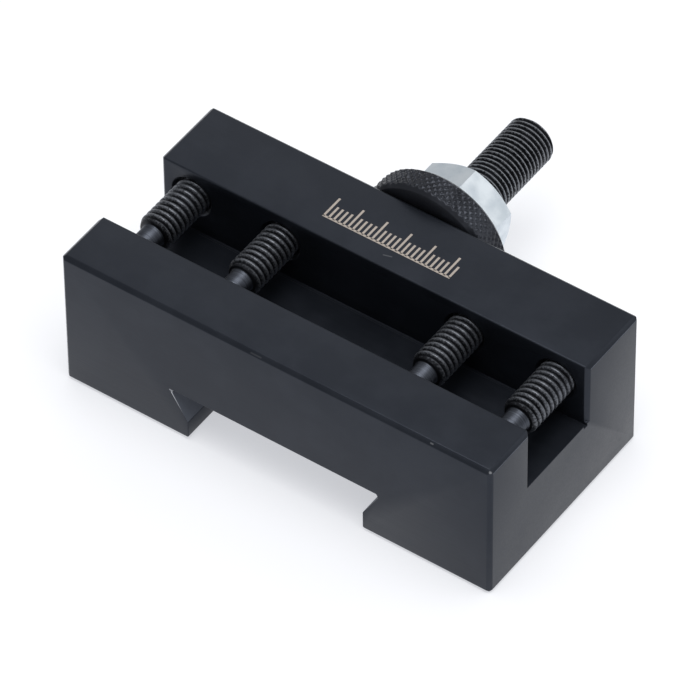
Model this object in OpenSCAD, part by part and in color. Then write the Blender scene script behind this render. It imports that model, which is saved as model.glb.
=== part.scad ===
// Turning and facing tool holder for a quick change tool post.
// The holder lies on its two seating flats: the tool slot runs along X and opens
// upwards, the dovetail recess runs along Y underneath, and the height stud
// stands out of the rear face along +Y. The origin is the middle of the
// dovetail recess, on the plane of the seating flats.

/* [Holder body] */
// Length of the holder, along the tool slot
holder_l = 88.9; // [74:0.1:120]
// Width of the holder, from the front jaw to the face with the height stud
holder_w = 44.45; // [37:0.05:60]
// Height of the holder, from the seating flats to the open side of the slot
holder_h = 30.25; // [26:0.05:40]
// Chamfer on the outside edges
edge_break = 0.75; // [0.3:0.05:1.5]

/* [Tool slot] */
// Thickness of the front jaw, which the tool rests on
jaw_t = 11.7; // [8:0.1:14]
// Width of the tool slot
slot_w = 17.3; // [14:0.1:21]
// Depth of the tool slot
slot_d = 13.3; // [10:0.1:14]
// Width of the relief groove in the corner of the slot floor and the rear wall
relief_w = 1.0; // [0.5:0.1:1.5]
// Depth of the relief groove below the slot floor
relief_d = 0.6; // [0.3:0.1:1]
// Chamfer on the slot's two top edges
slot_break = 0.2; // [0.1:0.05:0.6]

/* [Dovetail recess] */
// Width of the recess between its two lands
mouth_w = 36.5; // [30:0.1:46]
// Depth of the recess from the seating flats to its roof
recess_d = 10.7; // [9:0.1:12]
// Angle of each flank from the vertical
flank_angle = 30; // [25:1:35]
// Height of the straight lands below the flanks
land_h = 4.4; // [3:0.1:5]
// Lead-in on the tip of each land
lead_in = 0.9; // [0.4:0.1:1.4]
// Corner fillet between flank and roof, as a flat
recess_corner = 0.8; // [0.3:0.1:1.2]

/* [Set screws] */
// Outside diameter of the set screws' thread
screw_d = 6.9; // [6:0.1:9]
// Overall length of a set screw
screw_l = 30; // [25:0.5:34]
// Distance from the end of the holder to the outer screw
screw_inset = 6.55; // [6:0.05:10]
// Distance from the outer screw to the inner one
screw_step = 18.75; // [14:0.05:22]
// Metal between the top of the holder and the set screws
screw_cover = 2.7; // [1.6:0.1:3.5]
// Chamfer on the ends of the set screws' thread
screw_chamfer = 0.4; // [0.2:0.1:1]
// Diameter of the turned-down point of a set screw
dog_d = 4.5; // [3.5:0.1:5]
// Length of the turned-down point
dog_l = 5.8; // [3:0.1:6]
// Chamfer on the end of the point
dog_chamfer = 0.4; // [0.2:0.1:0.8]
// Hexagon socket of the set screws, across flats
socket_af = 4.0; // [3:0.1:5]
// Depth of the hexagon socket
socket_depth = 4.5; // [3:0.1:6]
// Gap between a screw's point and the front jaw
tip_gap = 0.3; // [0.2:0.1:2]

/* [Height stud] */
// Outside diameter of the stud's thread
stud_d = 9.5; // [8:0.1:12]
// How far the stud stands out of the rear face
stud_out = 33.8; // [26:0.1:45]
// Metal between the roof of the recess and the stud's hole
stud_cover = 4.15; // [2.5:0.05:5]
// Metal between the end of the stud's hole and the tool slot
stud_web = 2.5; // [1.5:0.1:4]

/* [Nuts] */
// Diameter of the knurled thumb nut
thumb_d = 27.7; // [22:0.1:32]
// Thickness of the thumb nut
thumb_t = 5.6; // [3.5:0.1:8]
// Gap between the thumb nut and the rear face
thumb_gap = 0.5; // [0.3:0.05:8]
// Chamfer on the rims of the thumb nut
thumb_chamfer = 0.9; // [0.3:0.1:1.2]
// Hexagon of the lock nut, across flats
lock_af = 16.8; // [15:0.1:19]
// Thickness of the lock nut
lock_t = 8.2; // [6:0.1:9]
// Distance from the flats to the rim where the corner chamfer starts
lock_crown = 0.25; // [0.1:0.05:0.6]
// Angle of the lock nut's first corner above +X, seen from the front
lock_turn = 80; // [0:1:119]

/* [Fits] */
// Radial clearance between a thread and its hole
thread_fit = 0.05; // [0.02:0.01:0.1]
// Gap between the faces of the two nuts
face_fit = 0.05; // [0.02:0.01:0.1]
// Countersink around the threaded holes
hole_csk = 0.7; // [0.3:0.1:1.2]
// Chamfer on the ends of the stud's thread and in the nuts' bores
thread_chamfer = 0.7; // [0.4:0.1:1]

/* [Hidden] */
$fn = 72;
over = 1; // how far a cut runs past the face that it opens

black_oxide = [0.20, 0.21, 0.24];
zinc = [0.80, 0.84, 0.87];
bright_point = [0.62, 0.64, 0.68];

x_end = holder_l / 2;
y_rear = holder_w / 2;
y_front = -holder_w / 2;
y_jaw = y_front + jaw_t;      // slot side of the front jaw
y_wall = y_jaw + slot_w;      // slot side of the rear wall
z_floor = holder_h - slot_d;  // floor of the tool slot

screw_r = screw_d / 2;
screw_z = holder_h - screw_cover - screw_r;
screw_x = [-x_end + screw_inset, -x_end + screw_inset + screw_step,
           x_end - screw_inset - screw_step, x_end - screw_inset];

stud_r = stud_d / 2;
stud_z = recess_d + stud_cover + stud_r;
y_stud_root = y_wall + stud_web;
y_stud_end = y_rear + stud_out;

y_thumb = y_rear + thumb_gap;
y_lock = y_thumb + thumb_t + face_fit;

// Stands a child that points along +Z at a place, pointing along +Y.
module along_y(x, y, z) {
    translate([x, y, z]) rotate([-90, 0, 0]) children();
}

// A rectangle around the origin with its corners cut off.
module broken_rect(w, h, c) {
    polygon([[-w/2 + c, -h/2], [w/2 - c, -h/2], [w/2, -h/2 + c], [w/2, h/2 - c],
             [w/2 - c, h/2], [-w/2 + c, h/2], [-w/2, h/2 - c], [-w/2, -h/2 + c]]);
}

// A block around the origin with all twelve edges chamfered.
module broken_block(l, w, h, c) {
    intersection() {
        linear_extrude(height = h, center = true) broken_rect(l, w, c);
        rotate([90, 0, 0]) linear_extrude(height = w, center = true) broken_rect(l, h, c);
        rotate([90, 0, 90]) linear_extrude(height = l, center = true) broken_rect(w, h, c);
    }
}

// The cut for the tool slot, with broken top edges and a corner relief.
module tool_slot_cut() {
    top = holder_h + over;
    top_flare = slot_break + over;
    flare = edge_break + over;
    rotate([90, 0, 90])
        linear_extrude(height = holder_l + 2 * over, center = true)
            polygon([[y_jaw, z_floor], [y_wall - relief_w, z_floor],
                     [y_wall - relief_w, z_floor - relief_d], [y_wall, z_floor - relief_d],
                     [y_wall, holder_h - slot_break], [y_wall + top_flare, top],
                     [y_jaw - top_flare, top], [y_jaw, holder_h - slot_break]]);
    for (side = [-1, 1]) // broken upright edges at the slot's two ends
        translate([side * x_end, (y_jaw + y_wall) / 2, z_floor])
            linear_extrude(height = slot_d + over)
                polygon([[-side * edge_break, -slot_w/2], [side * over, -slot_w/2 - flare],
                         [side * over, slot_w/2 + flare], [-side * edge_break, slot_w/2]]);
}

// The cut for the dovetail recess: lands, flanks and a flat roof.
module dovetail_cut() {
    mouth = mouth_w / 2;
    roof = mouth + (recess_d - land_h) * tan(flank_angle);
    corner_x = recess_corner * sin(flank_angle);
    corner_z = recess_corner * cos(flank_angle);
    half = [[mouth + lead_in + over, -over], [mouth, lead_in], [mouth, land_h],
            [roof - corner_x, recess_d - corner_z], [roof - recess_corner, recess_d]];
    rotate([90, 0, 0])
        linear_extrude(height = holder_w + 2 * over, center = true)
            polygon(concat(half, [for (i = [len(half) - 1:-1:0]) [-half[i][0], half[i][1]]]));
}

// A plain hole along +Y through a wall, countersunk at both faces.
module threaded_hole_cut(r, l) {
    translate([0, 0, -over]) cylinder(r = r, h = l + 2 * over);
    for (end = [[0, 0], [l, 180]])
        translate([0, 0, end[0]]) rotate([end[1], 0, 0])
            translate([0, 0, -over])
                cylinder(r1 = r + hole_csk + over, r2 = r, h = hole_csk + over);
}

// The cut for the height stud: a blind hole, countersunk at the rear face.
module stud_hole_cut() {
    r = stud_r + thread_fit;
    along_y(0, y_stud_root, stud_z) {
        cylinder(r = r, h = y_rear - y_stud_root + over);
        translate([0, 0, y_rear - y_stud_root - hole_csk])
            cylinder(r1 = r, r2 = r + hole_csk + over, h = hole_csk + over);
    }
}

// Holder body: front jaw, rear wall and floor in one block.
module holder_body() {
    color(black_oxide) difference() {
        translate([0, 0, holder_h / 2]) broken_block(holder_l, holder_w, holder_h, edge_break);
        tool_slot_cut();
        dovetail_cut();
        for (x = screw_x)
            along_y(x, y_wall, screw_z) threaded_hole_cut(screw_r + thread_fit, y_rear - y_wall);
        stud_hole_cut();
    }
}

// Height stud, screwed home in its blind hole.
module height_stud() {
    l = y_stud_end - y_stud_root;
    color(black_oxide)
        along_y(0, y_stud_root, stud_z)
            rotate_extrude()
                polygon([[0, 0], [stud_r - thread_chamfer, 0], [stud_r, thread_chamfer],
                         [stud_r, l - thread_chamfer], [stud_r - thread_chamfer, l], [0, l]]);
}

// Thumb nut: the round nut that sets the tool's height on the post.
module thumb_nut() {
    bore = stud_r + thread_fit;
    rim = thumb_d / 2;
    c = thumb_chamfer;
    color(black_oxide)
        along_y(0, y_thumb, stud_z)
            rotate_extrude()
                polygon([[bore + c, 0], [rim - c, 0], [rim, c], [rim, thumb_t - c],
                         [rim - c, thumb_t], [bore + c, thumb_t], [bore, thumb_t - c], [bore, c]]);
}

// Lock nut: a plain hexagon nut, chamfered on both faces.
module lock_nut() {
    bore = stud_r + thread_fit;
    corner = lock_af / 2 / cos(30);
    rim = lock_af / 2 - lock_crown;
    outer = corner + over;
    rise = (outer - rim) * tan(30); // height of the corner chamfer's cone
    color(zinc)
        along_y(0, y_lock, stud_z)
            difference() {
                intersection() {
                    rotate([0, 0, -lock_turn]) cylinder(r = corner, h = lock_t, $fn = 6);
                    rotate_extrude()
                        polygon([[0, 0], [rim, 0], [outer, rise], [outer, lock_t - rise],
                                 [rim, lock_t], [0, lock_t]]);
                }
                threaded_nut_bore(bore, lock_t, thread_chamfer);
            }
}

// The bore of a nut, countersunk at both faces.
module threaded_nut_bore(r, t, c) {
    translate([0, 0, -over]) cylinder(r = r, h = t + 2 * over);
    translate([0, 0, -over]) cylinder(r1 = r + c + over, r2 = r, h = c + over);
    translate([0, 0, t - c]) cylinder(r1 = r, r2 = r + c + over, h = c + over);
}

// Set screw with a turned-down point towards the jaw and a socket at the back.
module set_screw(x) {
    dog_r = dog_d / 2;
    c = screw_chamfer;
    along_y(x, y_jaw + tip_gap, screw_z) {
        color(bright_point)
            rotate_extrude()
                polygon([[0, 0], [dog_r - dog_chamfer, 0], [dog_r, dog_chamfer],
                         [dog_r, dog_l], [0, dog_l]]);
        color(black_oxide) difference() {
            rotate_extrude()
                polygon([[0, dog_l], [screw_r - c, dog_l], [screw_r, dog_l + c],
                         [screw_r, screw_l - c], [screw_r - c, screw_l], [0, screw_l]]);
            translate([0, 0, screw_l - socket_depth])
                cylinder(r = socket_af / 2 / cos(30), h = socket_depth + over, $fn = 6);
        }
    }
}

holder_body();
height_stud();
thumb_nut();
lock_nut();
set_screw(screw_x[0]);  // set_screw_1
set_screw(screw_x[1]);  // set_screw_2
set_screw(screw_x[2]);  // set_screw_3
set_screw(screw_x[3]);  // set_screw_4
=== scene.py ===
"""Turning and facing tool holder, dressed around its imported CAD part.

The holder is a black-oxided steel block with a tool slot on top and a dovetail
recess underneath. Four set screws cross the slot, and a height stud with a
knurled thumb nut and a bright lock nut stands out of the rear face. Every turned
piece points along +Y, so each is built along +Z at the origin and then laid down.
"""

import logging
import math
from collections.abc import Callable, Iterable, Sequence
from dataclasses import dataclass, replace
from enum import Enum
from functools import partial

import bmesh
import bpy
from mathutils import Matrix, Vector


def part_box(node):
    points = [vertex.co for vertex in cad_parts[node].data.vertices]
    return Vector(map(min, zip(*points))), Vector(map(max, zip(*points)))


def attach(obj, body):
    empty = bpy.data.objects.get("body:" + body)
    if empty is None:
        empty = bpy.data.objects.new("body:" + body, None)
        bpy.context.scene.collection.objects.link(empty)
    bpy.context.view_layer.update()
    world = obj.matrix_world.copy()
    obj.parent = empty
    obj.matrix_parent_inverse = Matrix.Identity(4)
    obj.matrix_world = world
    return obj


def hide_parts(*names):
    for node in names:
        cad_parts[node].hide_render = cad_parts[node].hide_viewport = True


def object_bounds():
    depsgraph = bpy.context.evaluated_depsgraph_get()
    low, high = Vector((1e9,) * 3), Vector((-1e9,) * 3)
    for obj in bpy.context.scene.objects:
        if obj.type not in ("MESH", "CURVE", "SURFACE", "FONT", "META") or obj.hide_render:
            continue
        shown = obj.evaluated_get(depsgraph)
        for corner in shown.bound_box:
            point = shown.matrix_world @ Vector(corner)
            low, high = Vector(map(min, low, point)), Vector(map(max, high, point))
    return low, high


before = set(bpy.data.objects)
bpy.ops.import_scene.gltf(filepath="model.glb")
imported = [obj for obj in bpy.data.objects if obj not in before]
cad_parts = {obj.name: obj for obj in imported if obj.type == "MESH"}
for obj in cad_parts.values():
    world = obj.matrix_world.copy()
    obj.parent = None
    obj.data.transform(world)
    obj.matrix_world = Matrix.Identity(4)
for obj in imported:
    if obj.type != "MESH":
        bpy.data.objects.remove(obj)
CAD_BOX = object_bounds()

log = logging.getLogger("tool_holder")

MM = 0.001
MERGE = 2e-6  # metres; points closer than this are one point
SECTORS = 72  # flat sides of a turned piece: a multiple of six, so that hexagons fit it
ROWS_PER_PITCH = 8  # rings of points across one thread
ROOT_EDGE = 3 / 8  # distance from mid-crest to the foot of a flank, in pitches
THREAD_ROOM = 0.05 * MM  # between the stud's crests and a nut's bore
CRISP = 50  # degrees; the edges of a turned piece that turn more than this stay crisp
CREST = "crest"  # attribute of threads: 0 in the root, 1 on the crest

NARROW_SPREAD = (0.35, 0.65)  # a noise keeps nearly all its values in the wide spread,
WIDE_SPREAD = (0.3, 0.7)  # and most of them in the narrow one
SUM_SPREAD = (0.7, 1.3)  # the same for two noises added up
COLOURS = {"data_type": "RGBA", "out": 2}  # settings of a Mix of colours, whose ends are inputs 6 and 7

Socket = bpy.types.NodeSocket
Tree = bpy.types.NodeTree
Point = tuple[float, float, float]
Size = float | Callable[[float], float]  # a size, or a rule that gives it at an angle


class Body(Enum):
    """The bodies of the part that pieces ride on."""

    HOLDER = "holder"
    THUMB_NUT = "thumb_nut"
    LOCK_NUT = "lock_nut"
    SET_SCREWS = "set_screw_{}"


class Slot(Enum):
    """The record's material slots."""

    BLOCK = "body_black_oxide"
    STUD = "stud_black_oxide"
    KNURL = "thumb_nut_black_oxide"
    ZINC = "lock_nut_zinc"
    SCREW = "screw_black_oxide"


# ---------------------------------------------------------------- small tools


def linear(hex_colour: str) -> tuple[float, float, float, float]:
    """Turns an sRGB hex colour into the linear RGBA that a socket takes.

    Args:
        hex_colour: Colour such as "#2f3238".

    Returns:
        Linear red, green, blue and an alpha of 1.
    """
    parts = [int(hex_colour[i : i + 2], 16) / 255 for i in (1, 3, 5)]
    red, green, blue = (p / 12.92 if p <= 0.04045 else ((p + 0.055) / 1.055) ** 2.4 for p in parts)
    return (red, green, blue, 1.0)


def add_node(
    tree: Tree,
    kind: str,
    *feeds: object,
    into: dict[str, object] | None = None,
    out: int | str = 0,
    made: bpy.types.Node | None = None,
    **settings: object,
) -> Socket | bpy.types.Node:
    """Adds a node to a tree, with its settings and links.

    Args:
        tree: Shader or geometry tree.
        kind: Blender's name of the node, such as "ShaderNodeMath".
        *feeds: Sockets or values for the inputs in their order; None leaves one alone.
        into: Sockets or values for inputs by name.
        out: Output to return, by place or name.
        made: A node that is already there, to be fed in place of a new one.
        **settings: The node's own properties.

    Returns:
        The chosen output, or the node itself when it has none.
    """
    node = made or tree.nodes.new(kind)
    for name, value in settings.items():
        setattr(node, name, value)
    pairs = [(node.inputs[i], feed) for i, feed in enumerate(feeds) if feed is not None]
    pairs += [(node.inputs[name], feed) for name, feed in (into or {}).items()]
    for socket, feed in pairs:
        if isinstance(feed, bpy.types.NodeSocket):
            tree.links.new(feed, socket)
        else:
            socket.default_value = feed
    return node.outputs[out] if len(node.outputs) else node


def new_tree(name: str, sizes: Iterable[str]) -> tuple[Tree, dict[str, Socket]]:
    """Starts a Geometry Nodes tree with named sizes and a material.

    Args:
        name: Name of the tree.
        sizes: Names of its number inputs.

    Returns:
        The tree, and its inputs by name.
    """
    tree = bpy.data.node_groups.new(name, "GeometryNodeTree")
    for size in sizes:
        tree.interface.new_socket(size, in_out="INPUT", socket_type="NodeSocketFloat")
    tree.interface.new_socket("Material", in_out="INPUT", socket_type="NodeSocketMaterial")
    tree.interface.new_socket("Geometry", in_out="OUTPUT", socket_type="NodeSocketGeometry")
    given = tree.nodes.new("NodeGroupInput")
    return tree, {size: given.outputs[size] for size in [*sizes, "Material"]}


def end_tree(tree: Tree, shape: Socket, material: Socket) -> None:
    """Ends a tree in Realize Instances and Set Material."""
    real = add_node(tree, "GeometryNodeRealizeInstances", shape)
    dressed = add_node(tree, "GeometryNodeSetMaterial", real, into={"Material": material})
    add_node(tree, "NodeGroupOutput", dressed)


def grow(tree: Tree, sizes: dict[str, float], material: bpy.types.Material) -> bpy.types.Mesh:
    """Runs a Geometry Nodes tree once and keeps its result as a plain mesh.

    Args:
        tree: Tree made by new_tree.
        sizes: Value of each size, by name.
        material: Material that the tree sets.

    Returns:
        The mesh.
    """
    carrier = bpy.data.objects.new(tree.name, bpy.data.meshes.new(tree.name))
    bpy.context.scene.collection.objects.link(carrier)
    modifier = carrier.modifiers.new(tree.name, "NODES")
    modifier.node_group = tree
    values = {**sizes, "Material": material}
    for item in tree.interface.items_tree:
        if item.in_out == "INPUT":
            modifier[item.identifier] = values[item.name]
    depsgraph = bpy.context.evaluated_depsgraph_get()
    mesh = bpy.data.meshes.new_from_object(carrier.evaluated_get(depsgraph), depsgraph=depsgraph)
    bpy.data.objects.remove(carrier)
    mesh.materials.clear()
    mesh.materials.append(material)
    return mesh


def at_angle(size: Size, angle: float) -> float:
    """Gives a size at an angle, in radians."""
    return size(angle) if callable(size) else size


def hexagon(across_flats: float, turn: float = 0.0) -> Callable[[float], float]:
    """Gives the rule for a hexagon's radius at an angle.

    Args:
        across_flats: Distance between opposite flats.
        turn: Angle of one corner, in radians.

    Returns:
        The rule.
    """
    sixth = math.pi / 3
    return lambda angle: across_flats / 2 / math.cos((angle - turn) % sixth - sixth / 2)


def turn_profile(
    shape: bmesh.types.BMesh,
    stations: Sequence[tuple[Size, Size]],
    sectors: int = SECTORS,
    material_index: int = 0,
) -> None:
    """Turns a profile about the Z axis into a shape's faces.

    The profile is followed so that the solid lies on its left, seen with Z up and
    the radius to the right, which makes the faces point outwards.

    Args:
        shape: Mesh under construction.
        stations: Radius and height at each step of the profile; a radius of 0 is a pole.
        sectors: Number of flat sides.
        material_index: Material slot of the faces.
    """
    angles = [2 * math.pi * i / sectors for i in range(sectors)]
    rings = []
    for radius, height in stations:
        if radius == 0:
            rings.append([shape.verts.new((0, 0, at_angle(height, 0)))] * sectors)
            continue
        ring = []
        for angle in angles:
            r, z = at_angle(radius, angle), at_angle(height, angle)
            ring.append(shape.verts.new((r * math.cos(angle), r * math.sin(angle), z)))
        rings.append(ring)
    for low, high in zip(rings, rings[1:]):
        for i in range(sectors):
            j = (i + 1) % sectors
            corners = list(dict.fromkeys((low[i], low[j], high[j], high[i])))
            shape.faces.new(corners).material_index = material_index


def close_shape(shape: bmesh.types.BMesh, mesh: bpy.types.Mesh, sharp_degrees: float = 180.0) -> None:
    """Merges a shape's seams, rounds its shading and writes it to a mesh.

    Args:
        shape: Mesh under construction, which is used up.
        mesh: Mesh that receives it.
        sharp_degrees: Edges that turn more than this stay crisp.
    """
    bmesh.ops.remove_doubles(shape, verts=shape.verts, dist=MERGE)
    bmesh.ops.dissolve_degenerate(shape, edges=shape.edges, dist=MERGE)
    limit = math.radians(sharp_degrees)
    for face in shape.faces:
        face.smooth = True
    for edge in shape.edges:
        edge.smooth = edge.calc_face_angle(0.0) < limit
    shape.to_mesh(mesh)
    shape.free()


def place(mesh: bpy.types.Mesh, name: str, body: str, slot: Slot, *nodes: str) -> bpy.types.Object:
    """Makes a finished mesh a piece of the part.

    Args:
        mesh: Mesh that already lies in the part's frame.
        name: Name of the piece.
        body: Body that it rides on.
        slot: Material slot that it takes its finish from; not used.
        *nodes: CAD nodes that it stands for.

    Returns:
        The piece.
    """
    mesh.name = name
    piece = bpy.data.objects.new(name, mesh)
    bpy.context.scene.collection.objects.link(piece)
    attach(piece, body)
    if nodes:
        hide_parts(*nodes)
    log.info("%s: %d faces on %s", name, len(mesh.polygons), body)
    return piece


@dataclass(frozen=True)
class Lathe:
    """Where a CAD node's axis lies: along +Y from its front end."""

    x: float
    z: float
    start: float
    length: float
    radius: float

    @classmethod
    def of(cls, node: str) -> "Lathe":
        """Reads the axis of a round CAD node from its box."""
        low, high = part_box(node)
        middle, size = (low + high) / 2, high - low
        return cls(middle.x, middle.z, low.y, size.y, size.x / 2)

    def lay(self, mesh: bpy.types.Mesh) -> bpy.types.Mesh:
        """Lays a mesh that was built along +Z on this axis."""
        laid = Matrix.Rotation(-math.pi / 2, 4, "X")
        mesh.transform(Matrix.Translation((self.x, self.start, self.z)) @ laid)
        return mesh


# ------------------------------------------------------------------- finishes


def new_material(name: str) -> tuple[bpy.types.Material, Callable, bpy.types.Node]:
    """Starts a material.

    Args:
        name: Name of the finish.

    Returns:
        The material, add_node bound to its tree, and its shader node.
    """
    material = bpy.data.materials.new(name)
    material.use_nodes = True
    return material, partial(add_node, material.node_tree), material.node_tree.nodes["Principled BSDF"]


@dataclass(frozen=True)
class Mark:
    """A nick or scratch of bare steel through the oxide, or a painted glint or highlight along an edge: a
    short pale stroke, in millimetres.
    """

    start: Point
    end: Point
    half_width: float
    strength: float = 1.0
    core: float = 0.4  # share of the half width at full strength

    def mask(self, add: Callable, place_on: Socket) -> Socket:
        """Gives the strength on the mark and 0 away from it.

        Args:
            add: add_node bound to the material's tree.
            place_on: Object coordinates.

        Returns:
            The mask.
        """
        start, run = Vector(self.start) * MM, (Vector(self.end) - Vector(self.start)) * MM
        steps = run / run.length_squared
        from_start = add("ShaderNodeVectorMath", place_on, start, operation="SUBTRACT")
        reach = add("ShaderNodeVectorMath", from_start, steps, operation="DOT_PRODUCT", out="Value")
        held = add("ShaderNodeClamp", reach)
        nearest = add("ShaderNodeVectorMath", run, operation="SCALE", into={"Scale": held})
        gap = add("ShaderNodeVectorMath", from_start, nearest, operation="DISTANCE", out="Value")
        width = self.half_width * MM
        feed = (gap, width * self.core, width, self.strength, 0.0)
        return add("ShaderNodeMapRange", *feed, interpolation_type="SMOOTHSTEP")


# Nicks and scratches of bare steel, and painted glints and highlights along lit edges.
WEAR_AND_GLINT_MARKS = (
    Mark((-21.6, -22.2, 10.1), (-18.2, -22.2, 4.6), 0.16, 0.9),  # burr on the left flank's front edge, drawn bright as a painted glint
    Mark((-21.9, -22.2, 10.5), (-21.0, -22.2, 10.4), 0.22, 0.5),
    Mark((-10.1, -22.1, 30.1), (-9.5, -22.0, 30.2), 0.25, 0.25),  # nicks along the jaw's top edge
    Mark((-4.6, -22.1, 29.9), (-2.6, -22.1, 29.9), 0.30, 0.12),
    Mark((32.1, -21.9, 29.9), (32.5, -21.9, 29.9), 0.20, 0.25),
    # At the front right corner: a nick, drawn bright as a painted glint.
    Mark((44.0, -21.8, 29.9), (44.2, -21.7, 29.9), 0.32, 0.40),
    Mark((0.8, 9.2, 30.2), (2.2, 9.6, 30.2), 0.18, 0.12),  # scuff beside the scale
    Mark((-36.0, 5.775, 16.95), (38.0, 5.775, 16.95), 0.09, 0.14),  # painted highlight along the lit lip of the slot's corner relief
)


@dataclass(frozen=True)
class BlackOxide:
    """Black oxide on machined steel: a micron-thin magnetite skin that keeps the tool marks.

    It mirrors faintly, like smoked glass, so each face reads by what it reflects.
    """

    name: str
    skin: str = "#262a32"
    bloom: str = "#2b2f37"  # where the oxide is thinner and cloudy
    metal: float = 0.75  # share that mirrors; the rest scatters in the pores of the skin
    roughness: float = 0.36
    uneven: float = 0.10  # spread of the roughness
    cloud_mm: float = 9.0  # size of the cloudy patches
    cloudy: tuple[float, float] = (0.38, 0.68)  # noise where the bloom begins, and where it is full
    lay_mm: Point = (18.0, 0.35, 0.35)  # length and spacing of the tool marks, drawn coarser than they are
    lay_depth_mm: float = 0.004
    crest_colour: str = "#8d9095"
    crest_from: float = 2.0  # thread height where the oxide starts to be rubbed off; over 1 is never
    crest_full: float = 1.25  # height where it is gone, with the patchiness of the wear added
    patchiness: float = 0.55
    # Pale steel: bare metal in the nicks, a painted highlight in the glints.
    mark_colour: str = "#c4c6ca"
    marks: tuple[Mark, ...] = ()

    def material(self) -> bpy.types.Material:
        """Builds the material."""
        material, add, shader = new_material(self.name)
        place_on = add("ShaderNodeTexCoord", out="Object")
        cloud = {"Scale": 1 / (self.cloud_mm * MM), "Detail": 4.0, "Roughness": 0.6}
        clouds = add("ShaderNodeTexNoise", place_on, into=cloud)
        stretched = add("ShaderNodeMapping", place_on, into={"Scale": [1 / (s * MM) for s in self.lay_mm]})
        lines = add("ShaderNodeTexNoise", stretched, into={"Scale": 1.0, "Detail": 2.0, "Roughness": 0.7})
        cloudy = add("ShaderNodeMapRange", clouds, *self.cloudy, 0.0, 1.0, interpolation_type="SMOOTHSTEP")
        colour = add("ShaderNodeMix", cloudy, into={6: linear(self.skin), 7: linear(self.bloom)}, **COLOURS)
        both = add("ShaderNodeMath", clouds, lines, operation="ADD")
        spread = (self.roughness - self.uneven / 2, self.roughness + self.uneven / 2)
        rough = add("ShaderNodeMapRange", both, *SUM_SPREAD, *spread)
        if self.crest_from < 1:
            rubbed = add("ShaderNodeAttribute", attribute_name=CREST, out="Fac")
            patches = add("ShaderNodeMapRange", lines, *WIDE_SPREAD, 0.0, self.patchiness)
            height = add("ShaderNodeMath", rubbed, patches)
            worn = (height, self.crest_from, self.crest_full, 0.0, 1.0)
            bare = add("ShaderNodeMapRange", *worn, interpolation_type="SMOOTHSTEP")
            colour = add("ShaderNodeMix", bare, into={6: colour, 7: linear(self.crest_colour)}, **COLOURS)
        # Nicks of bare steel, and painted glints and highlights on edges.
        for mark in self.marks:
            ends = {6: colour, 7: linear(self.mark_colour)}
            colour = add("ShaderNodeMix", mark.mask(add, place_on), into=ends, **COLOURS)
        lay = {"Height": lines, "Strength": 1.0, "Distance": self.lay_depth_mm * MM}
        relief = add("ShaderNodeBump", into=lay)
        look = {"Base Color": colour, "Roughness": rough, "Normal": relief, "Metallic": self.metal}
        add("", made=shader, into=look)
        return material


@dataclass(frozen=True)
class ZincPlate:
    """Bright zinc plate with a clear blue passivate: a pale, soft-edged mirror."""

    name: str = "bright_zinc_plate"
    colour: str = "#dde4e9"
    shade: str = "#cad3da"  # where the passivate is thicker
    roughness: float = 0.42
    uneven: float = 0.10  # spread of the roughness
    patch_mm: float = 3.0
    grain_mm: float = 0.12  # crystals of the plate, drawn coarser than they are
    grain_depth_mm: float = 0.003

    def material(self) -> bpy.types.Material:
        """Builds the material."""
        material, add, shader = new_material(self.name)
        place_on = add("ShaderNodeTexCoord", out="Object")
        patches = add("ShaderNodeTexNoise", place_on, into={"Scale": 1 / (self.patch_mm * MM), "Detail": 3.0})
        grain = add("ShaderNodeTexNoise", place_on, into={"Scale": 1 / (self.grain_mm * MM), "Detail": 1.0})
        share = add("ShaderNodeMapRange", patches, *NARROW_SPREAD, 0.0, 1.0)
        ends = {6: linear(self.colour), 7: linear(self.shade)}
        colour = add("ShaderNodeMix", share, into=ends, **COLOURS)
        spread = (self.roughness - self.uneven / 2, self.roughness + self.uneven / 2)
        rough = add("ShaderNodeMapRange", patches, *WIDE_SPREAD, *spread)
        bumps = {"Height": grain, "Strength": 0.6, "Distance": self.grain_depth_mm * MM}
        relief = add("ShaderNodeBump", into=bumps)
        look = {"Base Color": colour, "Roughness": rough, "Normal": relief, "Metallic": 1.0}
        add("", made=shader, into=look)
        return material


@dataclass(frozen=True)
class TurnedSteel:
    """Bare turned steel: a satin grey with fine rings from the tool."""

    name: str = "turned_steel_point"
    colour: str = "#50545c"
    groove: str = "#3e4148"
    roughness: float = 0.42
    feed_mm: float = 0.16  # advance of the tool each turn
    run_mm: float = 6.0  # length over which a ring keeps its depth
    groove_depth_mm: float = 0.004

    def material(self) -> bpy.types.Material:
        """Builds the material."""
        material, add, shader = new_material(self.name)
        place_on = add("ShaderNodeTexCoord", out="Object")
        scale = [1 / (size * MM) for size in (self.run_mm, self.feed_mm, self.run_mm)]
        stretched = add("ShaderNodeMapping", place_on, into={"Scale": scale})
        rings = add("ShaderNodeTexNoise", stretched, into={"Scale": 1.0})
        share = add("ShaderNodeMapRange", rings, *NARROW_SPREAD, 0.0, 1.0)
        ends = {6: linear(self.colour), 7: linear(self.groove)}
        colour = add("ShaderNodeMix", share, into=ends, **COLOURS)
        grooves = {"Height": rings, "Strength": 0.8, "Distance": self.groove_depth_mm * MM}
        relief = add("ShaderNodeBump", into=grooves)
        look = {"Base Color": colour, "Roughness": self.roughness, "Normal": relief, "Metallic": 1.0}
        add("", made=shader, into=look)
        return material


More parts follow.
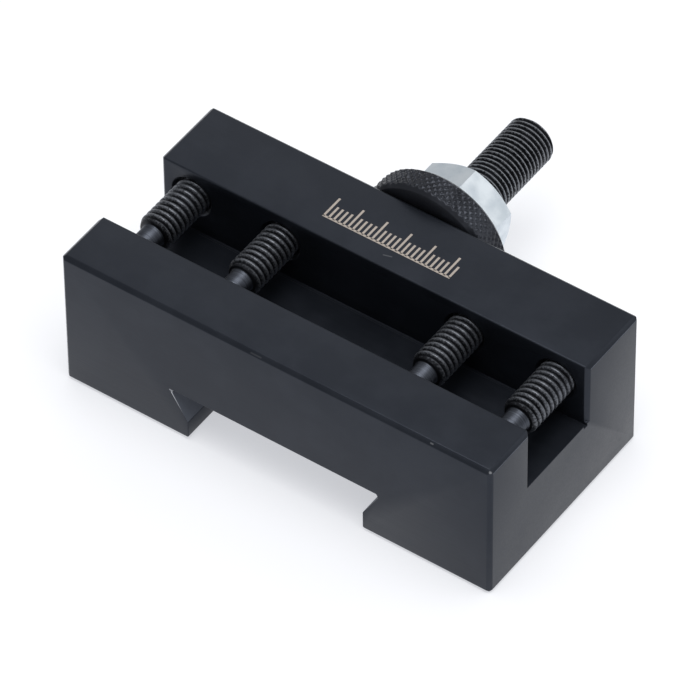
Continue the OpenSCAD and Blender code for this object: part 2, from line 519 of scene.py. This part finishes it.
@dataclass(frozen=True)
class LaserEtch:
    """Laser etching: the beam frosts the steel, which scatters light and reads pale and flat."""

    name: str = "laser_etched_steel"
    colour: str = "#b8ada3"
    fleck: str = "#9d948c"
    roughness: float = 0.75
    hatch_mm: float = 0.12  # spacing of the beam's passes
    frost_depth_mm: float = 0.003

    def material(self) -> bpy.types.Material:
        """Builds the material."""
        material, add, shader = new_material(self.name)
        place_on = add("ShaderNodeTexCoord", out="Object")
        flecks = add("ShaderNodeTexNoise", place_on, into={"Scale": 1 / (self.hatch_mm * MM), "Detail": 1.0})
        share = add("ShaderNodeMapRange", flecks, *NARROW_SPREAD, 0.0, 1.0)
        ends = {6: linear(self.colour), 7: linear(self.fleck)}
        colour = add("ShaderNodeMix", share, into=ends, **COLOURS)
        frost = {"Height": flecks, "Strength": 0.5, "Distance": self.frost_depth_mm * MM}
        relief = add("ShaderNodeBump", into=frost)
        look = {"Base Color": colour, "Roughness": self.roughness, "Normal": relief, "Metallic": 0.0}
        add("", made=shader, into=look)
        return material


# ------------------------------------------------------- what repeats on them


def unroll(tree: Tree, columns: Socket, rows: Socket) -> tuple[Socket, Socket, Socket]:
    """Lays out the flat grid that wrap bends round the axis.

    Args:
        tree: Geometry tree.
        columns: Number of faces round the axis.
        rows: Number of faces along it.

    Returns:
        The grid, and the share of a turn and of the length at each of its points.
    """
    add = partial(add_node, tree)
    across, up = (add("ShaderNodeMath", count, 1.0) for count in (columns, rows))
    grid = add("GeometryNodeMeshGrid", 1.0, 1.0, across, up)
    spot = add("GeometryNodeInputPosition")
    turn, share = (
        add("ShaderNodeMath", add("ShaderNodeSeparateXYZ", spot, out=side), 0.5) for side in ("X", "Y")
    )
    return grid, turn, share


def wrap(
    tree: Tree,
    material: Socket,
    grid: Socket,
    turn: Socket,
    radius: Socket,
    height: Socket,
    crest: Socket | None = None,
) -> None:
    """Bends a grid round the axis and ends the tree.

    Args:
        tree: Geometry tree.
        material: Material that it sets.
        grid: Grid from unroll.
        turn: Share of a turn at each point.
        radius: Distance of each point from the axis.
        height: Height of each point.
        crest: Value of the crest attribute, stored before the grid is bent, if its finish wears.
    """
    add = partial(add_node, tree)
    angle = add("ShaderNodeMath", turn, 2 * math.pi, operation="MULTIPLY")
    x, y = (
        add("ShaderNodeMath", radius, add("ShaderNodeMath", angle, operation=part), operation="MULTIPLY")
        for part in ("COSINE", "SINE")
    )
    bent = add("ShaderNodeCombineXYZ", x, y, height)
    if crest is not None:
        grid = add("GeometryNodeStoreNamedAttribute", grid, into={"Name": CREST, "Value": crest})
    moved = add("GeometryNodeSetPosition", grid, into={"Position": bent})
    end_tree(tree, add("GeometryNodeMergeByDistance", moved, into={"Distance": MERGE}), material)


@dataclass
class HelicalThread:
    """A right-hand 60-degree thread, wound on a tube that is open at both ends.

    Its rows of points follow the helix, so crests stay crisp all the way round,
    and both ends fade out under a chamfer into a plain ring.
    """

    crest_r: float
    pitch: float
    start: float
    end: float
    chamfer: float
    crest_half: float = 1 / 16  # half the flat on a crest, in pitches
    depth: float = 0.61  # from crest to root, in pitches

    @property
    def root_r(self) -> float:
        """Radius at the foot of the flanks."""
        return self.crest_r - self.depth * self.pitch

    @property
    def rim_r(self) -> float:
        """Radius of the ring at both ends."""
        return min(self.root_r, self.crest_r - self.chamfer)

    @property
    def sizes(self) -> dict[str, float]:
        """Value of each size of the tree, by name."""
        return {
            "Crest": self.crest_r,
            "Root": self.root_r,
            "Rim": self.rim_r,
            "Pitch": self.pitch,
            "Flat": self.crest_half,
            "Start": self.start,
            "End": self.end,
            "Sectors": SECTORS,
        }

    def tree(self) -> Tree:
        """Builds the Geometry Nodes tree that winds the thread."""
        tree, given = new_tree("helical_thread", self.sizes)
        add = partial(add_node, tree)
        length = add("ShaderNodeMath", given["End"], given["Start"], operation="SUBTRACT")
        pitches = add("ShaderNodeMath", length, given["Pitch"], operation="DIVIDE")
        turns = add("ShaderNodeMath", add("ShaderNodeMath", pitches, 1.0), operation="CEIL")
        rows = add("ShaderNodeMath", turns, ROWS_PER_PITCH, operation="MULTIPLY")
        grid, turn, share = unroll(tree, given["Sectors"], rows)

        # The grid starts a pitch low, climbs a pitch each turn and is held between the two ends.
        row = add("ShaderNodeMath", share, rows, operation="MULTIPLY")
        wound = add("ShaderNodeMath", row, 1 / ROWS_PER_PITCH, turn, operation="MULTIPLY_ADD")
        lowest = add("ShaderNodeMath", given["Start"], given["Pitch"], operation="SUBTRACT")
        free = add("ShaderNodeMath", wound, given["Pitch"], lowest, operation="MULTIPLY_ADD")
        height = add("ShaderNodeClamp", free, given["Start"], given["End"])

        # The profile depends on the row alone: a flat crest, two flanks and a flat root.
        shifted = add("ShaderNodeMath", add("ShaderNodeMath", row, 0.5), ROWS_PER_PITCH, operation="DIVIDE")
        phase = add("ShaderNodeMath", shifted, operation="FRACT")
        off_crest = add("ShaderNodeMath", phase, 0.5, operation="SUBTRACT")
        flank = add("ShaderNodeMath", off_crest, operation="ABSOLUTE")
        rise = add("ShaderNodeMapRange", flank, ROOT_EDGE, given["Flat"], 0.0, 1.0)
        threaded = add("ShaderNodeMapRange", rise, 0.0, 1.0, given["Root"], given["Crest"])

        # A 45-degree cone cuts the thread down to the rim at both ends.
        from_start = add("ShaderNodeMath", height, given["Start"], operation="SUBTRACT")
        from_end = add("ShaderNodeMath", given["End"], height, operation="SUBTRACT")
        inset = add("ShaderNodeMath", from_start, from_end, operation="MINIMUM")
        cone = add("ShaderNodeMath", given["Rim"], inset)
        radius = add("ShaderNodeMath", threaded, cone, operation="MINIMUM")
        worn = add("ShaderNodeMapRange", radius, given["Root"], given["Crest"], 0.0, 1.0)
        wrap(tree, given["Material"], grid, turn, radius, height, worn)
        return tree

    def tube(self, material: bpy.types.Material) -> bpy.types.Mesh:
        """Winds the thread and returns it as a plain mesh in a material."""
        return grow(self.tree(), self.sizes, material)


@dataclass
class DiamondKnurl:
    """The knurled outside of a round nut: two crossing sets of V grooves between two chamfers."""

    radius: float
    width: float
    chamfer: float
    depth: float = 0.40 * MM
    pitch: float = 1.4 * MM  # from one diamond to the next, round and along
    columns_per_pitch: int = 8
    rows: int = 40
    groove_walls: tuple[float, float] = (0.05, 0.95)  # where a wall starts and ends, over half a groove
    shallowest: float = 0.45  # least depth of a groove, as a share of the depth
    uneven_scale: float = 0.9  # patches of the tool's uneven bite, per diamond

    @property
    def diamonds(self) -> int:
        """Number of diamonds round the nut."""
        return round(2 * math.pi * self.radius / self.pitch)

    @property
    def sectors(self) -> int:
        """Number of flat sides."""
        return self.diamonds * self.columns_per_pitch

    @property
    def sizes(self) -> dict[str, float]:
        """Value of each size of the tree, by name."""
        return {
            "Radius": self.radius,
            "Width": self.width,
            "Chamfer": self.chamfer,
            "Depth": self.depth,
            "Pitch": self.pitch,
            "Diamonds": self.diamonds,
            "Columns": self.sectors,
            "Rows": self.rows,
        }

    def groove(self, add: Callable, around: Socket, along: Socket) -> Socket:
        """Cuts the two sets of grooves: 1 at the bottom of one, 0 on top of a diamond.

        Args:
            add: add_node bound to the tree.
            around: Way round the nut, in diamonds.
            along: Way along it, in diamonds.

        Returns:
            The cut.
        """
        hands = []
        for hand in ("ADD", "SUBTRACT"):
            slanted = add("ShaderNodeMath", around, along, operation=hand)
            across = add("ShaderNodeMath", slanted, operation="FRACT")
            centred = add("ShaderNodeMath", across, 2.0, -1.0, operation="MULTIPLY_ADD")
            hands.append(add("ShaderNodeMath", centred, operation="ABSOLUTE"))
        deepest = add("ShaderNodeMath", *hands, operation="MAXIMUM")
        return add("ShaderNodeMapRange", deepest, *self.groove_walls, 0.0, 1.0)

    def bite(self, add: Callable, given: dict[str, Socket], turn: Socket, along: Socket) -> Socket:
        """Gives the depth of the grooves, which varies because the tool bites unevenly.

        Args:
            add: add_node bound to the tree.
            given: Inputs of the tree.
            turn: Share of a turn.
            along: Way along the nut, in diamonds.

        Returns:
            The depth.
        """
        angle = add("ShaderNodeMath", turn, 2 * math.pi, operation="MULTIPLY")
        reach = add("ShaderNodeMath", given["Radius"], given["Pitch"], operation="DIVIDE")
        x, y = (
            add("ShaderNodeMath", reach, add("ShaderNodeMath", angle, operation=part), operation="MULTIPLY")
            for part in ("COSINE", "SINE")
        )
        spot = add("ShaderNodeCombineXYZ", x, y, along)
        uneven = add("ShaderNodeTexNoise", spot, into={"Scale": self.uneven_scale, "Detail": 1.0})
        least = add("ShaderNodeMath", given["Depth"], self.shallowest, operation="MULTIPLY")
        return add("ShaderNodeMapRange", uneven, *WIDE_SPREAD, given["Depth"], least)

    def tree(self) -> Tree:
        """Builds the Geometry Nodes tree that presses the knurl."""
        tree, given = new_tree("diamond_knurl", self.sizes)
        add = partial(add_node, tree)
        grid, turn, share = unroll(tree, given["Columns"], given["Rows"])
        height = add("ShaderNodeMath", share, given["Width"], operation="MULTIPLY")
        around = add("ShaderNodeMath", turn, given["Diamonds"], operation="MULTIPLY")
        along = add("ShaderNodeMath", height, given["Pitch"], operation="DIVIDE")
        cut = self.groove(add, around, along)
        sunk = add("ShaderNodeMath", cut, self.bite(add, given, turn, along), operation="MULTIPLY")
        pressed = add("ShaderNodeMath", given["Radius"], sunk, operation="SUBTRACT")
        from_back = add("ShaderNodeMath", given["Width"], height, operation="SUBTRACT")
        inset = add("ShaderNodeMath", height, from_back, operation="MINIMUM")
        rim = add("ShaderNodeMath", given["Radius"], given["Chamfer"], operation="SUBTRACT")
        radius = add("ShaderNodeMath", pressed, add("ShaderNodeMath", rim, inset), operation="MINIMUM")
        wrap(tree, given["Material"], grid, turn, radius, height)
        return tree

    def band(self, material: bpy.types.Material) -> bpy.types.Mesh:
        """Presses the knurl and returns it as a plain mesh in a material."""
        return grow(self.tree(), self.sizes, material)


@dataclass
class EtchedScale:
    """A plain graduated scale: upright ticks on a base line, a long one at every fifth."""

    middle: float  # across
    foot: float
    top: float
    step: float = 1.0 * MM
    ticks: int = 27
    long_tick: float = 4.9 * MM
    short_tick: float = 3.0 * MM
    stroke: float = 0.42 * MM
    proud: float = 0.012 * MM  # how far the frosted steel stands above the oxide
    every: int = 5

    @property
    def sizes(self) -> dict[str, float]:
        """Value of each size of the tree, by name."""
        return {
            "Left": self.middle - (self.ticks - 1) * self.step / 2,
            "Foot": self.foot,
            "Top": self.top,
            "Step": self.step,
            "Ticks": self.ticks,
            "Long": self.long_tick,
            "Short": self.short_tick,
            "Stroke": self.stroke,
            "Proud": self.proud,
            "Every": self.every,
        }

    @staticmethod
    def join(tree: Tree, *parts: Socket) -> Socket:
        """Joins shapes into one."""
        whole = add_node(tree, "GeometryNodeJoinGeometry")
        for part in parts:
            tree.links.new(part, whole.node.inputs[0])
        return whole

    def tree(self) -> Tree:
        """Builds the Geometry Nodes tree that sets out the ticks and the base line."""
        tree, given = new_tree("etched_scale", self.sizes)
        add = partial(add_node, tree)

        # One stroke: a plate 1 wide, 1 long and 1 thick, closed underneath.
        bar = add("GeometryNodeCurvePrimitiveQuadrilateral", into={"Width": 1.0, "Height": 1.0})
        face = add("GeometryNodeFillCurve", bar)
        raised = add("GeometryNodeExtrudeMesh", face, into={"Offset Scale": 1.0, "Individual": False})
        both = self.join(tree, raised, add("GeometryNodeFlipFaces", face))
        stroke = add("GeometryNodeMergeByDistance", both, into={"Distance": 0.01})

        # The ticks.
        number = add("GeometryNodeInputIndex")
        beat = add("ShaderNodeMath", number, given["Every"], operation="MODULO")
        is_short = add("ShaderNodeMath", beat, 0.5, operation="GREATER_THAN")
        tall = add("ShaderNodeMapRange", is_short, 0.0, 1.0, given["Long"], given["Short"])
        across = add("ShaderNodeMath", number, given["Step"], given["Left"], operation="MULTIPLY_ADD")
        middle = add("ShaderNodeMath", tall, 0.5, given["Foot"], operation="MULTIPLY_ADD")
        points = add("GeometryNodeMeshLine", into={"Count": given["Ticks"]})
        spot = add("ShaderNodeCombineXYZ", across, middle, given["Top"])
        set_out = add("GeometryNodeSetPosition", points, into={"Position": spot})
        tick_size = add("ShaderNodeCombineXYZ", given["Stroke"], tall, given["Proud"])
        upright = add("GeometryNodeInstanceOnPoints", set_out, into={"Instance": stroke, "Scale": tick_size})

        # The base line.
        gaps = add("ShaderNodeMath", given["Ticks"], 1.0, operation="SUBTRACT")
        run = add("ShaderNodeMath", gaps, given["Step"], operation="MULTIPLY")
        centre = add("ShaderNodeMath", run, 0.5, given["Left"], operation="MULTIPLY_ADD")
        base_at = add("ShaderNodeCombineXYZ", centre, given["Foot"], given["Top"])
        base_length = add("ShaderNodeMath", run, given["Stroke"])
        base_size = add("ShaderNodeCombineXYZ", base_length, given["Stroke"], given["Proud"])
        base = add("GeometryNodeTransform", stroke, into={"Translation": base_at, "Scale": base_size})
        end_tree(tree, self.join(tree, upright, base), given["Material"])
        return tree

    def mesh(self, material: bpy.types.Material) -> bpy.types.Mesh:
        """Sets out the scale and returns it as a plain mesh in a material."""
        return grow(self.tree(), self.sizes, material)


# --------------------------------------------------------------------- pieces


@dataclass
class HolderBlock:
    """The holder's one steel block, with the scale etched on its rear wall."""

    node: str = "holder_body"
    edge: float = 0.10 * MM  # rounding left by deburring on every edge
    facet_degrees: float = 20.0  # edges that turn less than this belong to one curved face
    flat_degrees: float = 0.5  # edges that turn less than this are joined into one flat
    deburr_rows: int = 2
    scale_shift: float = 2.2 * MM  # of the scale, towards the slot from the middle of the rear wall
    flank_lean: float = 0.8  # a face is a dovetail flank when its normal points this far sideways
    flank_rise: float = 0.4  # and this far up

    def is_flank(self, face: bmesh.types.BMFace) -> bool:
        """Tells whether a face is a flank of the dovetail, where the post slides."""
        return abs(face.normal.x) > self.flank_lean and face.normal.z > self.flank_rise

    def build(self, skin: bpy.types.Material, worn_flank_painted_bounce: bpy.types.Material, etch: bpy.types.Material) -> None:
        """Builds the block and its scale.

        Args:
            skin: Finish of the block.
            worn_flank_painted_bounce: Finish of the dovetail's flanks: matt where the post slides, with a
                lighter skin that is painted bounce light from the floor.
            etch: Finish of the scale.
        """
        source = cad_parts[self.node]
        shape = bmesh.new()
        shape.from_mesh(source.data)
        bmesh.ops.remove_doubles(shape, verts=shape.verts, dist=MERGE)
        flat = math.radians(self.flat_degrees)
        bmesh.ops.dissolve_limit(
            shape, angle_limit=flat, verts=shape.verts, edges=shape.edges, delimit={"NORMAL"}
        )
        rough_cut = bpy.data.meshes.new("block_rough_cut")
        shape.to_mesh(rough_cut)
        if "custom_normal" in rough_cut.attributes:
            rough_cut.attributes.remove(rough_cut.attributes["custom_normal"])
        shape.free()
        carrier = bpy.data.objects.new("block_rough_cut", rough_cut)
        bpy.context.scene.collection.objects.link(carrier)
        deburr = carrier.modifiers.new("deburr", "BEVEL")
        deburr.width = self.edge
        deburr.segments = self.deburr_rows
        deburr.limit_method = "ANGLE"
        deburr.angle_limit = math.radians(self.facet_degrees)
        deburr.harden_normals = False
        depsgraph = bpy.context.evaluated_depsgraph_get()
        mesh = bpy.data.meshes.new_from_object(carrier.evaluated_get(depsgraph), depsgraph=depsgraph)
        bpy.data.objects.remove(carrier)
        mesh.materials.clear()
        mesh.materials.append(skin)
        mesh.materials.append(worn_flank_painted_bounce)
        shape = bmesh.new()
        shape.from_mesh(mesh)
        for face in shape.faces:
            # The flanks take the finish whose lighter skin is painted bounce light from the floor.
            face.material_index = int(self.is_flank(face))
        close_shape(shape, mesh, self.facet_degrees)
        place(mesh, "holder_block", Body.HOLDER.value, Slot.BLOCK, self.node)
        self.etch_scale(etch)

    def etch_scale(self, etch: bpy.types.Material) -> None:
        """Etches the scale on top of the rear wall, in a finish."""
        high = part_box(self.node)[1]
        stud_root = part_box("height_stud")[0].y
        foot = (stud_root + high.y) / 2 - EtchedScale.long_tick / 2 - self.scale_shift
        scale = EtchedScale(middle=0, foot=foot, top=high.z)
        place(scale.mesh(etch), "etched_scale", Body.HOLDER.value, Slot.BLOCK)


@dataclass
class SetScrew:
    """A set screw with a turned-down point at the front and a hexagon socket at the back."""

    number: int
    pitch: float = 1.25 * MM
    crest_half: float = 0.17  # half of a crest's flat, in pitches: these crests are rolled wide
    thread_depth: float = 0.5  # in pitches
    chamfer: float = 0.4 * MM
    point_r: float = 2.25 * MM
    point_length: float = 5.8 * MM
    point_chamfer: float = 0.4 * MM
    neck: float = 0.35 * MM  # fillet between the point and the thread
    neck_bend: float = 0.3  # how far its middle lies from both its ends, as a share of it
    socket_flats: float = 4.0 * MM
    socket_depth: float = 4.5 * MM
    socket_chamfer: float = 0.15 * MM
    socket_slope: float = 0.6  # of that chamfer
    drill_cone: float = 0.9 * MM  # height of the drill's cone at the bottom of the socket

    def build(self, skin: bpy.types.Material, bare: bpy.types.Material) -> None:
        """Builds the screw.

        Args:
            skin: Finish of the thread and socket.
            bare: Finish of the point.
        """
        node = Body.SET_SCREWS.value.format(self.number)
        axis = Lathe.of(node)
        end = axis.length
        thread = HelicalThread(
            axis.radius, self.pitch, self.point_length, end, self.chamfer, self.crest_half, self.thread_depth
        )
        mesh = thread.tube(skin)
        mesh.materials.append(bare)
        shape = bmesh.new()
        shape.from_mesh(mesh)
        bend = self.neck * self.neck_bend
        neck_middle = (self.point_r + bend, self.point_length - bend)
        point = [
            (0, 0),
            (self.point_r - self.point_chamfer, 0),
            (self.point_r, self.point_chamfer),
            (self.point_r, self.point_length - self.neck),
            neck_middle,
        ]
        shoulder = [
            neck_middle,
            (self.point_r + self.neck, self.point_length),
            (thread.rim_r, self.point_length),
        ]
        socket = hexagon(self.socket_flats)
        mouth = self.socket_flats / 2 / math.cos(math.pi / 6) + self.socket_chamfer
        back = [
            (thread.rim_r, end),
            (mouth, end),
            (socket, lambda angle: end - (mouth - socket(angle)) * self.socket_slope),
            (socket, end - self.socket_depth + self.drill_cone),
            (0, end - self.socket_depth),
        ]
        turn_profile(shape, point, material_index=1)
        turn_profile(shape, shoulder)
        turn_profile(shape, back)
        close_shape(shape, mesh, CRISP)
        place(axis.lay(mesh), f"clamp_screw_{self.number}", node, Slot.SCREW, node)


@dataclass
class HeightStud:
    """The fine-threaded stud that stands out of the rear face."""

    node: str = "height_stud"
    pitch: float = 1.0 * MM
    chamfer: float = 0.7 * MM
    centre: float = 0.9 * MM  # radius and depth of the lathe's centre drilling

    def build(self, skin: bpy.types.Material) -> None:
        """Builds the stud in a finish."""
        axis = Lathe.of(self.node)
        end = axis.length
        thread = HelicalThread(axis.radius, self.pitch, 0.0, end, self.chamfer)
        mesh = thread.tube(skin)
        shape = bmesh.new()
        shape.from_mesh(mesh)
        turn_profile(shape, [(0, 0), (thread.rim_r, 0)])
        turn_profile(shape, [(thread.rim_r, end), (self.centre, end), (0, end - self.centre)])
        close_shape(shape, mesh, CRISP)
        place(axis.lay(mesh), "threaded_stud", Body.HOLDER.value, Slot.STUD, self.node)


@dataclass
class ThumbNut:
    """The knurled nut that sets the height."""

    node: str = "thumb_nut"
    chamfer: float = 0.9 * MM
    bore_chamfer: float = 0.7 * MM

    def build(self, skin: bpy.types.Material) -> None:
        """Builds the nut in a finish."""
        axis = Lathe.of(self.node)
        bore = Lathe.of("height_stud").radius + THREAD_ROOM
        rim, width = axis.radius, axis.length
        knurl = DiamondKnurl(radius=rim, width=width, chamfer=self.chamfer)
        mesh = knurl.band(skin)
        shape = bmesh.new()
        shape.from_mesh(mesh)
        stations = [
            (rim - self.chamfer, width),
            (bore + self.bore_chamfer, width),
            (bore, width - self.bore_chamfer),
            (bore, self.bore_chamfer),
            (bore + self.bore_chamfer, 0),
            (rim - self.chamfer, 0),
        ]
        turn_profile(shape, stations, knurl.sectors)
        close_shape(shape, mesh, CRISP)
        place(axis.lay(mesh), "knurled_nut", Body.THUMB_NUT.value, Slot.KNURL, self.node)


@dataclass
class LockNut:
    """The plated hexagon nut, chamfered at its corners on both faces."""

    node: str = "lock_nut"
    across_flats: float = 16.8 * MM
    crown: float = 0.25 * MM  # from the flats to the rim where the corner chamfer starts
    crown_slope: float = math.tan(math.radians(30))
    turn: float = math.radians(-80)  # of one corner
    bore_chamfer: float = 0.7 * MM
    crisp: float = 20  # degrees; crisp edges of the flats and chamfers

    def build(self, plate: bpy.types.Material) -> None:
        """Builds the nut in a finish."""
        stud, own = Lathe.of("height_stud"), Lathe.of(self.node)
        axis = replace(own, x=stud.x, z=stud.z)  # the box of a turned hexagon isn't centred on it
        bore, width = stud.radius + THREAD_ROOM, own.length
        outline = hexagon(self.across_flats, self.turn)
        rim = self.across_flats / 2 - self.crown
        stations = [
            (bore, self.bore_chamfer),
            (bore + self.bore_chamfer, 0),
            (rim, 0),
            (outline, lambda angle: (outline(angle) - rim) * self.crown_slope),
            (outline, lambda angle: width - (outline(angle) - rim) * self.crown_slope),
            (rim, width),
            (bore + self.bore_chamfer, width),
            (bore, width - self.bore_chamfer),
            (bore, self.bore_chamfer),
        ]
        shape = bmesh.new()
        turn_profile(shape, stations, sectors=SECTORS * 2)
        mesh = bpy.data.meshes.new("lock_nut_blank")
        mesh.materials.append(plate)
        close_shape(shape, mesh, self.crisp)
        place(axis.lay(mesh), "plated_nut", Body.LOCK_NUT.value, Slot.ZINC, self.node)


# --------------------------------------------------------------------- studio


@dataclass(frozen=True)
class Softbox:
    """A square soft light."""

    name: str
    direction: Point  # where it hangs, seen from the object
    reach: float  # distance from the object, in metres
    size: float  # side, in metres
    power: float  # in watts

    def hang(self) -> None:
        """Hangs the light, facing the object."""
        data = bpy.data.lights.new(self.name, "AREA")
        data.shape, data.size, data.energy = "SQUARE", self.size, self.power
        light = bpy.data.objects.new(self.name, data)
        way = Vector(self.direction).normalized()
        facing = way.to_track_quat("Z", "Y").to_matrix().to_4x4()
        light.matrix_world = Matrix.Translation(way * self.reach) @ facing
        bpy.context.scene.collection.objects.link(light)


@dataclass
class Studio:
    """Pale floor, soft lights and the camera."""

    azimuth: float = 35.53
    elevation: float = 46.48
    roll: float = -0.61
    lens_mm: float = 396.5
    distance: float = 1.31505
    target: Point = (0.0, 1.108 * MM, 21.0 * MM)
    offset: tuple[float, float] = (-0.4605 * MM, -5.339 * MM)  # across and up the picture
    table_colour: str = "#c0c0c0"
    table_glow_colour: str = "#f7f9ff"
    table_glow: float = 0.56
    table_half: float = 4.0  # half its side, in metres
    sky: tuple[float, float, float, float] = (0.97, 0.98, 1.0, 1.0)
    sky_strength: float = 0.45
    softboxes: tuple[Softbox, ...] = (
        Softbox("overhead_softbox", (0.10, -0.10, 1.0), 1.2, 0.9, 9.0),
        Softbox("key_softbox", (0.64, 0.56, 0.53), 1.3, 0.8, 1.6),
        Softbox("back_softbox", (-0.48, 0.56, 0.68), 1.3, 0.8, 1.2),
    )

    def camera(self) -> None:
        """Sets up the scene's camera."""
        a, e, turn = (math.radians(d) for d in (self.azimuth, self.elevation, self.roll))
        back = Vector((math.sin(a) * math.cos(e), -math.cos(a) * math.cos(e), math.sin(e)))
        level = Vector((0, 0, 1)).cross(back).normalized()
        upright = back.cross(level)
        right = math.cos(turn) * level + math.sin(turn) * upright
        up = math.cos(turn) * upright - math.sin(turn) * level
        data = bpy.data.cameras.new("camera")
        data.lens = self.lens_mm
        data.clip_start, data.clip_end = 0.05, 50
        eye = bpy.data.objects.new("camera", data)
        spot = Vector(self.target) + back * self.distance + right * self.offset[0] + up * self.offset[1]
        eye.matrix_world = Matrix.Translation(spot) @ Matrix((right, up, back)).transposed().to_4x4()
        bpy.context.scene.collection.objects.link(eye)
        bpy.context.scene.camera = eye

    def floor(self) -> None:
        """Lays the floor under the object: a white light table, lit weakly from below."""
        material, add, shader = new_material("pale_floor")
        look = {
            "Base Color": linear(self.table_colour),
            "Roughness": 0.9,
            "Specular IOR Level": 0.0,
            "Emission Color": linear(self.table_glow_colour),
            "Emission Strength": self.table_glow,
        }
        add("", made=shader, into=look)
        shape = bmesh.new()
        bmesh.ops.create_grid(shape, x_segments=1, y_segments=1, size=self.table_half)
        mesh = bpy.data.meshes.new("floor")
        shape.to_mesh(mesh)
        shape.free()
        mesh.materials.append(material)
        floor = bpy.data.objects.new("floor", mesh)
        floor.location.z = CAD_BOX[0].z
        bpy.context.scene.collection.objects.link(floor)

    def light(self) -> None:
        """Lights the room."""
        scene = bpy.context.scene
        scene.view_settings.view_transform = "Standard"
        world = bpy.data.worlds.new("studio")
        world.use_nodes = True
        sky = world.node_tree.nodes["Background"]
        sky.inputs["Color"].default_value = self.sky
        sky.inputs["Strength"].default_value = self.sky_strength
        scene.world = world
        for softbox in self.softboxes:
            softbox.hang()


def main() -> None:
    """Builds the studio and every piece of the holder."""
    logging.basicConfig(level=logging.INFO, format="%(name)s: %(message)s")
    studio = Studio()
    studio.camera()
    studio.floor()
    studio.light()
    block = BlackOxide("ground_black_oxide", marks=WEAR_AND_GLINT_MARKS)
    # Dovetail flanks: matt where the post slides; the lighter skin is painted bounce light from the floor.
    worn_flank_painted_bounce = BlackOxide("worn_flank_oxide_painted_bounce", skin="#565b65", bloom="#60656f", metal=0.3, roughness=0.6)
    grain = (0.35, 0.35, 0.35)  # a rolled or pressed surface has no lay
    threads = BlackOxide(
        "rolled_black_oxide",
        skin="#1e1f23",
        bloom="#2c2e33",
        crest_from=0.8,
        crest_full=1.7,
        patchiness=1.0,
        crest_colour="#686b71",
        lay_mm=grain,
    )
    stud = BlackOxide(
        "fine_thread_black_oxide", skin="#1b1c20", bloom="#26272b", crest_from=0.9, lay_mm=grain
    )
    knurl = BlackOxide(
        "knurled_black_oxide", skin="#2c2e34", bloom="#3d4047", lay_mm=grain, lay_depth_mm=0.02
    )
    HolderBlock().build(block.material(), worn_flank_painted_bounce.material(), LaserEtch().material())
    screw_skin, point = threads.material(), TurnedSteel().material()
    for number in (1, 2, 3, 4):
        SetScrew(number).build(screw_skin, point)
    HeightStud().build(stud.material())
    ThumbNut().build(knurl.material())
    LockNut().build(ZincPlate().material())


if __name__ == "__main__":
    main()
